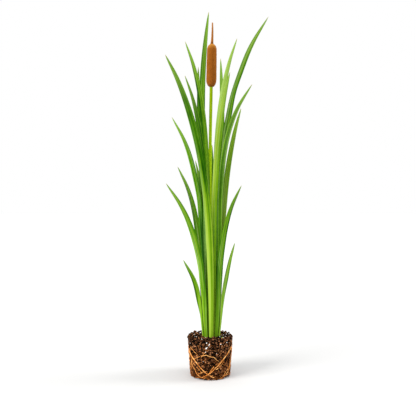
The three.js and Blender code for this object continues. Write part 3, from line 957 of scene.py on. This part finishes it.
def rootMaterial(name, stops):
    m = Recipe(name)
    fine = m.noise(0.0012, detail=3)
    stains = m.noise(0.0045, detail=2)
    shade = m.ramp(fine * 0.5 + (stains - 0.5) * 1.5 + m.attribute("proud") * 0.8 - 0.16, stops)
    return m.finish(baseColor=shade, roughness=0.7, normal=m.bump(fine, 0.35 * mm, 0.7), specular=0.12)


def mainRootPath(node, rows):
    # the middle line of a CAD root, found by unrolling it from the ball and sorting its corners along it
    corners = cornersOf(node)
    angle = np.arctan2(corners[:, 0], -corners[:, 1])
    angle = np.where(angle - np.median(angle) > math.pi, angle - 2 * math.pi, angle)
    angle = np.where(angle - np.median(angle) < -math.pi, angle + 2 * math.pi, angle)
    flat = np.stack([angle * topRadius, corners[:, 2]], -1)
    along = flat @ unit(np.linalg.svd(flat - flat.mean(0), full_matrices=False)[2][0])
    middles = corners[np.argsort(along)].reshape(-1, rootLook["sides"], 3).mean(1)
    if middles[0, 2] < middles[-1, 2]:
        middles = middles[::-1]
    return smoothThrough(middles, np.linspace(0, 1, rows))


def knobbly(paths, radii, seed):
    # radii with swellings every few millimetres
    return radii * (1 + 0.16 * cloud(paths, 2.4 * mm, seed) + 0.10 * cloud(paths, 0.9 * mm, seed + 1))


def outwards(paths):
    return unit(paths * (1, 1, 0))


def endsOf(t, reach):
    # 1 at both ends of a root, easing to 0 at that share of its length
    return smoothStep(reach, 0, np.minimum(t, 1 - t))


def rounding(t, start, end, least):
    # 1 along a root, falling off in a curve over those shares of its length at its two ends
    return np.sqrt(np.clip(np.minimum(t / start, (1 - t) / end), least, 1))


def makeMainRoots(material, look):
    paths = []
    t = np.linspace(0, 1, look["mainRows"])
    for seed, node in enumerate(nodesWith("main_root"), look["mainSeed"]):
        path = mainRootPath(node, look["mainRows"])
        rise = look["mainRise"] - look["dive"] * endsOf(t, 0.08)
        k = seed - look["mainSeed"]
        wander = np.stack([cloud(path, 5 * mm, seed + 2 * k + j) for j in range(3)], -1)
        path = path + outwards(path) * rise[:, None] + 0.35 * mm * wander
        path[:, 2] = np.maximum(path[:, 2], 1.2 * mm)
        radius = knobbly(path, (1.15 - 0.3 * t) * mm * rounding(t, 0.03, 0.05, 0.02), seed + 10)
        tones = 0.72 + 0.3 * cloud(path, 9 * mm, seed + 20)
        makeFibres(node + "_skin", path[None], radius[None], look["mainColumns"], outwards(path)[None], tones,
                   material, [node])
        paths.append(path)
    print("main roots")
    return paths


def makeSideRoots(material, look):
    t, seed = np.linspace(0, 1, look["sideRows"]), look["sideSeed"]
    paths, radii = [], []
    for k, (thick, route) in enumerate(sideRoots):
        angle, z = smoothThrough(np.array(route, float), t).T
        wander = cloud(np.stack([9 * t, 0 * t + k, 0 * t], -1), 1.0, seed)
        lift = 0.35 * mm + 0.25 * thick * mm + 0.4 * mm * wander - look["dive"] * endsOf(t, 0.12)
        paths.append(onBall(np.radians(angle), z * mm, lift))
        radii.append(0.58 * thick * mm * (1 - 0.35 * t) * rounding(t, 0.05, 0.1, 0.02))
    paths = np.array(paths)
    paths = paths + 0.5 * mm * np.stack([cloud(paths, 4 * mm, seed + 5 + j) for j in range(3)], -1)
    paths[..., 2] = np.maximum(paths[..., 2], 0.9 * mm)
    radii = knobbly(paths, np.array(radii), seed + 8)
    tones = np.random.default_rng(seed + 9).uniform(0.45, 0.95, len(paths))
    makeFibres("side_roots", paths, radii, look["sideColumns"], outwards(paths), tones, material)
    print("side roots")
    return list(paths)


def perRoot(rng, count):
    # gives a function for random values between two limits, one to a root, as a column
    def column(low, high):
        return rng.uniform(low, high, (count, 1))
    return column


def makeFineRoots(material, look):
    # each root wanders down and round the ball from its own start, in and out of the soil
    rng = np.random.default_rng(look["seed"])
    count = look["count"]
    t = np.linspace(0, 1, look["rows"])[None]
    column = perRoot(rng, count)
    span = column(*look["span"])
    slope = column(0.35, 1.25) * np.sign(column(-1, 1))
    startZ = (column(0, 1) ** 1.5 * 0.86 + 0.04) * ballHeight
    bendA, bendZ = column(0, 6.3), column(0, 6.3)
    angle = column(0, 2 * math.pi) + span * np.cos(slope) * t * np.sign(slope) / bottomRadius
    angle = angle + 0.05 * np.sin(5 * t + bendA) + 0.025 * np.sin(13 * t + 2 * bendA)
    z = startZ - span * np.abs(np.sin(slope)) * t
    z = z + 1.6 * mm * np.sin(6 * t + bendZ) + 0.7 * mm * np.sin(15 * t)
    low = 1.0 * mm + 5 * mm * column(0, 1)
    z = low + np.abs(z - low) * np.where(z < low, 0.25, 1)
    thick = column(0, 1) ** 2 * np.ptp(look["thick"]) + look["thick"][0]
    lift = thick * 0.7 + 0.5 * mm * np.sin(column(3, 9) * t + bendZ) + 0.3 * mm
    paths = onBall(angle, np.minimum(z, ballHeight - 3 * mm), lift)
    thinning = (1 - 0.5 * t) * np.sqrt(np.clip((1 - t) / 0.1, 0.05, 1))
    radii = knobbly(paths, thick * thinning, look["seed"] + 50)
    tones = rng.uniform(-0.2, 0.5, count)
    makeFibres("fine_roots", paths, radii, look["columns"], outwards(paths), tones, material)
    print("fine roots")


def makeCoilRoots(material, look):
    # roots that met the pot's floor and ran round its edge
    rng = np.random.default_rng(look["seed"])
    count = look["count"]
    t = np.linspace(0, 1, look["rows"])[None]
    column = perRoot(rng, count)
    turn = column(0.3, 1.3) * np.sign(column(-1, 1))
    angle = column(0, 2 * math.pi) + turn * t
    z = column(0.7, 9) * mm + 1.6 * mm * np.sin(column(2, 7) * t + column(0, 6.3))
    thick = column(*look["thick"])
    z = np.maximum(z, thick + 0.2 * mm)
    inset = ballLook["edge"] * (1 - np.sqrt(np.clip(1 - (1 - z / ballLook["edge"]).clip(0, 1) ** 2, 0, 1)))
    lift = -inset + thick * 0.3 + 0.9 * mm * np.sin(column(4, 12) * t + column(0, 6.3))
    paths = onBall(angle, z, lift)
    radii = knobbly(paths, thick * rounding(t, 0.06, 0.06, 0.05), look["seed"] + 51)
    tones = rng.uniform(-0.1, 0.8, count)
    makeFibres("bottom_roots", paths, radii, look["columns"], outwards(paths), tones, material)
    print("bottom roots")


def makeHairs(name, material, look):
    # short fibres: they stand out of the side where standing is 1 and lie along it where it is 0, and more
    # of them are low down where lower is above 1
    rng = np.random.default_rng(look["seed"])
    count, standing = look["count"], look["standing"]
    thick = rng.uniform(*look["thick"], count)
    angle = rng.uniform(0, 2 * math.pi, count)
    z = rng.uniform(0.02, 0.97, count) ** look["lower"] * ballHeight
    start = onBall(angle, z, 0.2 * mm)
    out = outwards(start)
    along = unit(np.cross(out, rng.normal(size=(count, 3))))
    lean = unit(out * standing + along * (1.15 - standing))
    t = np.linspace(0, 1, rootLook["hairRows"])
    span = rng.uniform(*look["length"], count)[:, None, None]
    bend = t**2 * rng.normal(size=(count, 1)) * 0.3
    curl = unit(np.cross(lean, out + 0.2 * along))[:, None] * bend[..., None]
    bow = out[:, None] * (np.sin(math.pi * t) * 0.08 * (1 - standing))[None, :, None]
    paths = start[:, None] + span * (lean[:, None] * t[None, :, None] + curl + bow)
    radii = thick[:, None] * (1 - 0.8 * t**2)[None]
    paths[..., 2] = np.maximum(paths[..., 2], radii + 0.05 * mm)
    tones = rng.uniform(*look["tones"], count)
    makeFibres(name, paths, radii, 3, out[:, None] + 0.01, tones, material)
    print(name)


setUpStudio(studio)
makeFloor(studio)

makeLeaves()
makeStalk(stalkLook)
headFoot, headTop = makeSeedHead(headLook)
makeSpike(headFoot, headTop, spikeLook)

rootTan = rootMaterial("root_tan", rootStops)
thickRoots = makeMainRoots(rootTan, rootLook) + makeSideRoots(rootTan, rootLook)
makeBall(soilMaterial("soil_dark", soilStops, 0.0016), ballLook)
makeAllCrumbs(soilMaterial("soil_crumb", crumbStops, 0.0012), thickRoots)
makeGrains(grainLook)
makeMoss(mossLook)
makeFineRoots(rootTan, rootLook["fine"])
makeCoilRoots(rootTan, rootLook["coil"])
makeHairs("root_hairs", rootTan, rootLook["hairs"])
makeHairs("root_ends", rootTan, rootLook["ends"])
makeHairs("soil_fibres", rootMaterial("fibre_brown", crumbStops), rootLook["bits"])
